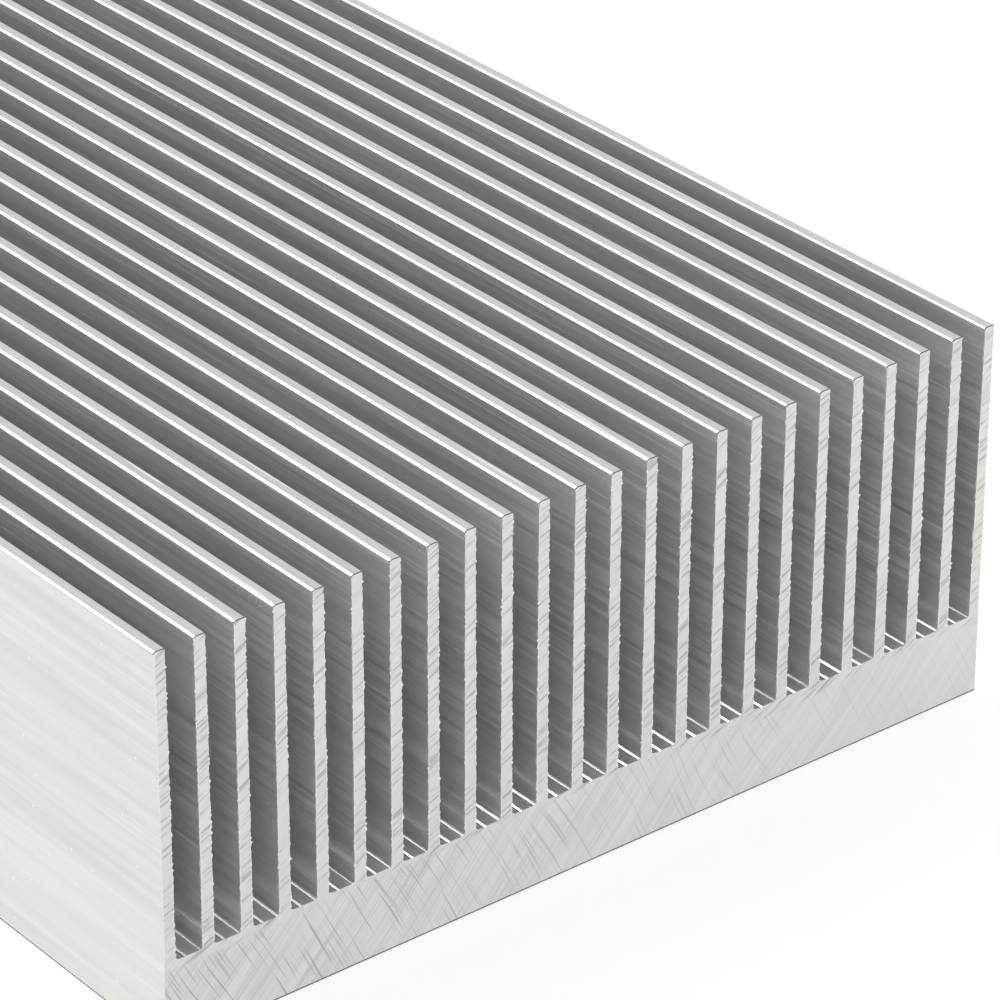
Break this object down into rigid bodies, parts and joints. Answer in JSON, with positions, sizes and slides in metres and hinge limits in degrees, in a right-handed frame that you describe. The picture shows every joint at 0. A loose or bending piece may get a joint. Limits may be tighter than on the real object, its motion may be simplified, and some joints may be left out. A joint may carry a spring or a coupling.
{
  "type": "extruded heat sink",
  "caption": "Straight-finned extruded heat sink: a flat base plate with a dense row of tall thin parallel fins, sawn square at both ends.",
  "frame": {"origin": "centre of the flat seating face under the base plate", "axes": "+X across the fins, +Y along the extrusion, +Z from the seating face up to the fin tips"},
  "size_m": [0.06, 0.15, 0.0248],
  "materials": {
    "mill_aluminium": "bare mill finish with fine die lines along the fins and saw marks on both cut ends"
  },
  "bodies": {
    "root": {"heat_sink": "mill_aluminium"}
  },
  "joints": []
}
